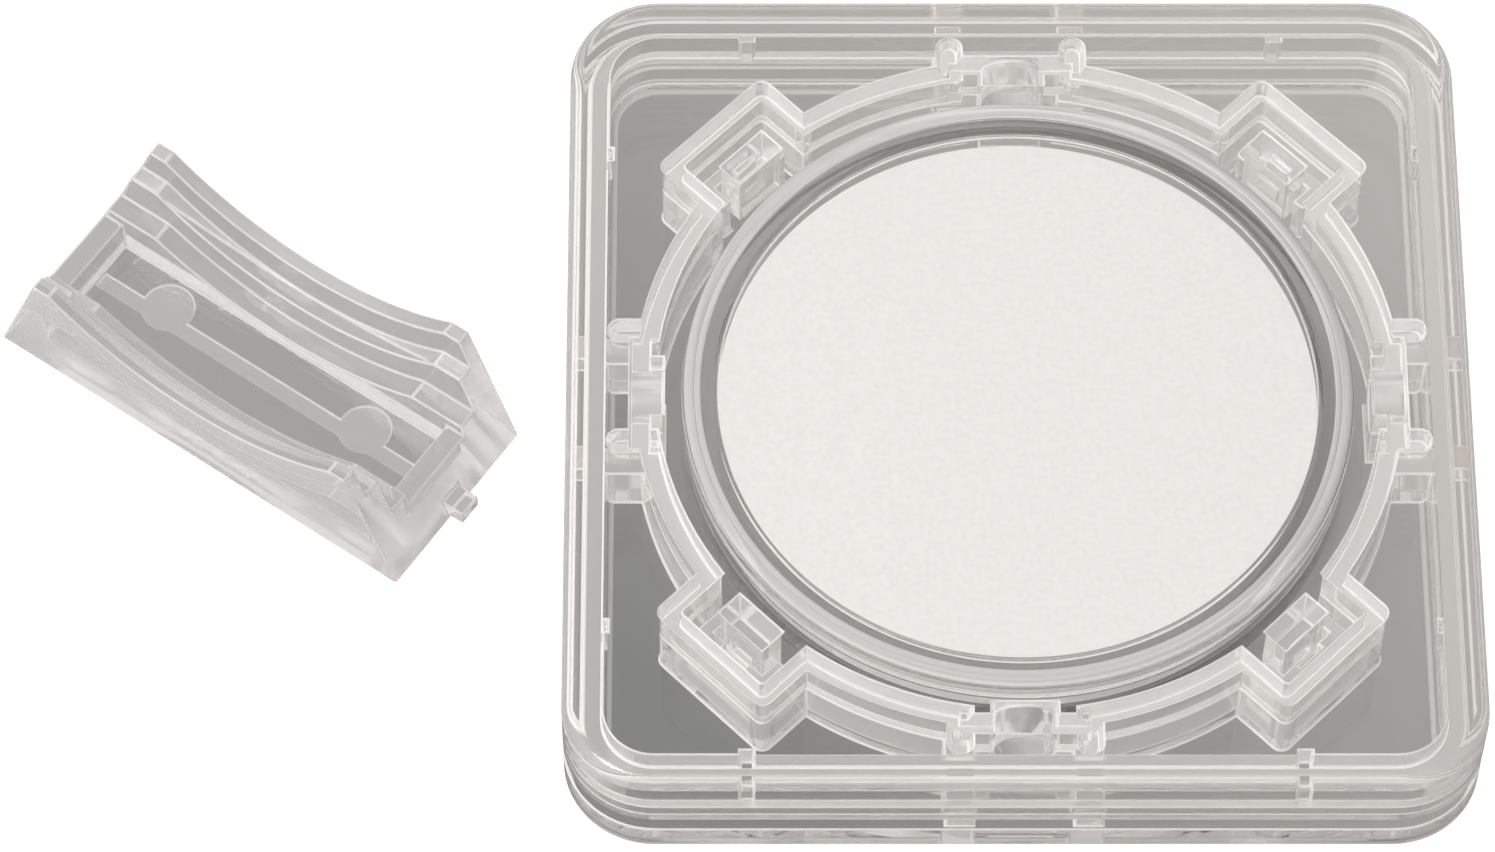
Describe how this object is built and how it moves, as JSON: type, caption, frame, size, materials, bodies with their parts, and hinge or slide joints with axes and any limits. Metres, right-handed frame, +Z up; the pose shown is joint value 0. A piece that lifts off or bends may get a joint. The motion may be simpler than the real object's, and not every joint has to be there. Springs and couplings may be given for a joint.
{
  "type": "coin capsule",
  "caption": "Clear square snap case holding a round coin capsule with a white disc, beside a small clear cradle stand with stepped grooves.",
  "frame": {"origin": "centre of the square case's underside, on the surface that the case and the stand lie on", "axes": "+Z up through the case's window, +X to the right and away from the stand, +Y to the back"},
  "size_m": [0.0986, 0.06, 0.0102],
  "materials": {
    "case_clear": "clear, polished injection moulding",
    "capsule_clear": "clear, polished injection moulding",
    "insert_white": "matte white",
    "stand_clear": "clear, polished injection moulding"
  },
  "bodies": {
    "case_base": {"case_base": "case_clear"},
    "case_lid": {"case_lid": "case_clear"},
    "capsule_base": {"capsule_base": "capsule_clear"},
    "capsule_lid": {"capsule_lid": "capsule_clear"},
    "insert_disc": {"insert_disc": "insert_white"},
    "stand": {"stand": "stand_clear"}
  },
  "joints": [
    {"name": "case_lid_lift", "type": "slide", "parent": "case_base", "child": "case_lid", "axis": [0, 0, 1], "range_m": [0, 0.04]},
    {"name": "capsule_lid_lift", "type": "slide", "parent": "case_base", "child": "capsule_lid", "axis": [0, 0, 1], "range_m": [0, 0.026]},
    {"name": "insert_disc_lift", "type": "slide", "parent": "case_base", "child": "insert_disc", "axis": [0, 0, 1], "range_m": [0, 0.018]},
    {"name": "capsule_base_lift", "type": "slide", "parent": "case_base", "child": "capsule_base", "axis": [0, 0, 1], "range_m": [0, 0.01]},
    {"name": "stand_lift", "type": "slide", "parent": "case_base", "child": "stand", "axis": [0, 0, 1], "range_m": [0, 0.04]}
  ],
  "couplings": [
    {"joint": "capsule_lid_lift", "follows": "case_lid_lift", "ratio": 0.65},
    {"joint": "insert_disc_lift", "follows": "case_lid_lift", "ratio": 0.45},
    {"joint": "capsule_base_lift", "follows": "case_lid_lift", "ratio": 0.25}
  ]
}
